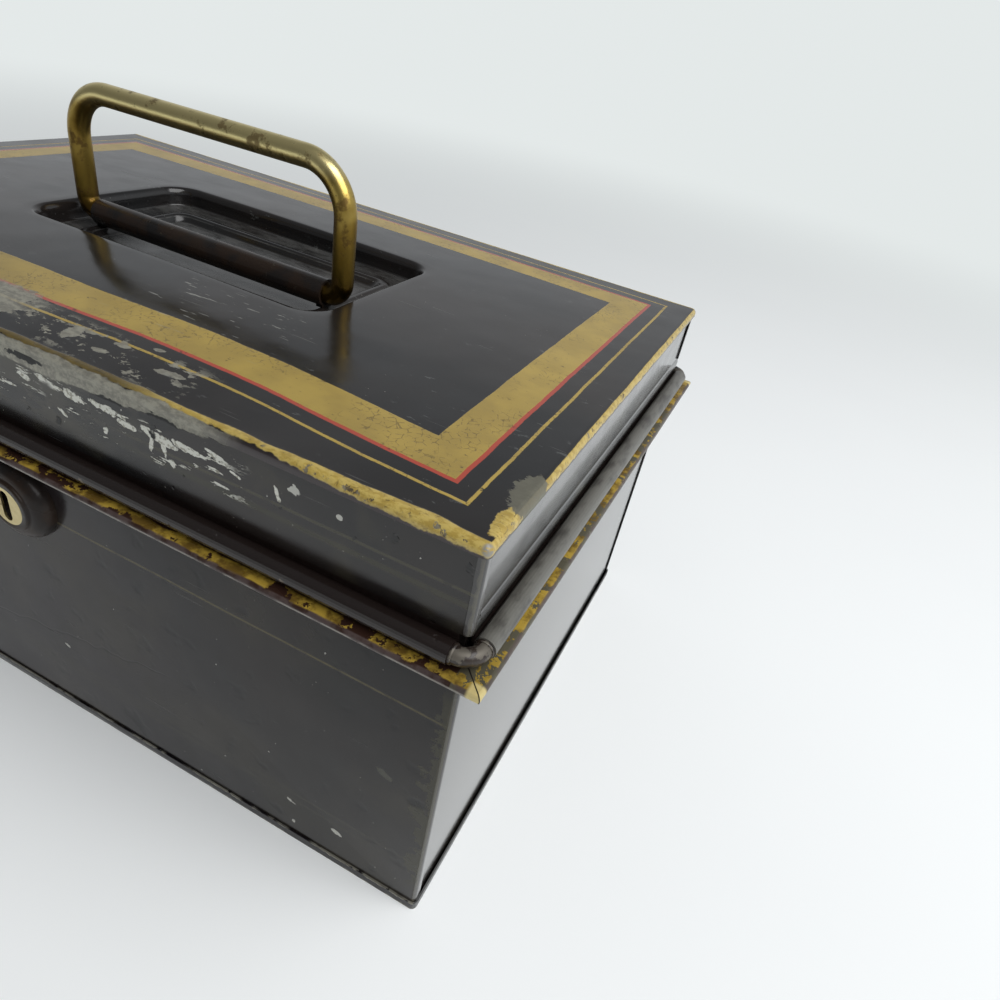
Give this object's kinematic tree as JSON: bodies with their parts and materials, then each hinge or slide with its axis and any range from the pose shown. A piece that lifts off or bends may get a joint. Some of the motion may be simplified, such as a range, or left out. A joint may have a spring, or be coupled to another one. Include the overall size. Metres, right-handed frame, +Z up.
{
  "type": "deed box",
  "caption": "Black japanned tin deed box with a hinged lid, gilt and red lining, a brass bail handle in a pressed tray, and a lock with a keyhole boss.",
  "frame": {"origin": "centre of the underside of the base", "axes": "+X to the right along the front with the lock, +Y from the front to the hinged back, +Z up"},
  "size_m": [0.3134, 0.2054, 0.1844],
  "materials": {
    "black_japan": "glossy black japan, worn at the edges, with gilt and red lines",
    "bare_tin": "dull tinned steel",
    "aged_brass": "aged brass with brown patches"
  },
  "bodies": {
    "body": {"body_front": "black_japan", "body_back": "black_japan", "body_left_end": "black_japan", "body_right_end": "black_japan", "base_plate": "black_japan", "lock_boss": "black_japan", "escutcheon": "aged_brass", "lock_case": "bare_tin", "lock_cap": "bare_tin", "lock_cap_screws": "bare_tin", "key_pin": "bare_tin", "bolt_stumps": "bare_tin", "bolt_spring": "bare_tin", "hinge_strap_left": "black_japan", "hinge_strap_right": "black_japan", "hinge_rivets": "black_japan"},
    "lid": {"lid_front": "black_japan", "lid_back": "black_japan", "lid_left_end": "black_japan", "lid_right_end": "black_japan", "lid_top": "black_japan", "lid_wire": "black_japan", "lid_staple": "bare_tin", "handle_tube": "black_japan"},
    "handle": {"handle": "aged_brass"},
    "lock_bolt": {"lock_bolt": "bare_tin"}
  },
  "joints": [
    {"name": "lid_hinge", "type": "hinge", "parent": "body", "child": "lid", "pos_m": [0, 0.09806, 0.11296], "axis": [-1, 0, 0], "range_deg": [0, 140]},
    {"name": "handle_pivot", "type": "hinge", "parent": "lid", "child": "handle", "pos_m": [0, -0.0114, 0.142], "axis": [1, 0, 0], "range_deg": [-90, 75]},
    {"name": "bolt_slide", "type": "slide", "parent": "body", "child": "lock_bolt", "axis": [-1, 0, 0], "range_m": [0, 0.006]}
  ]
}
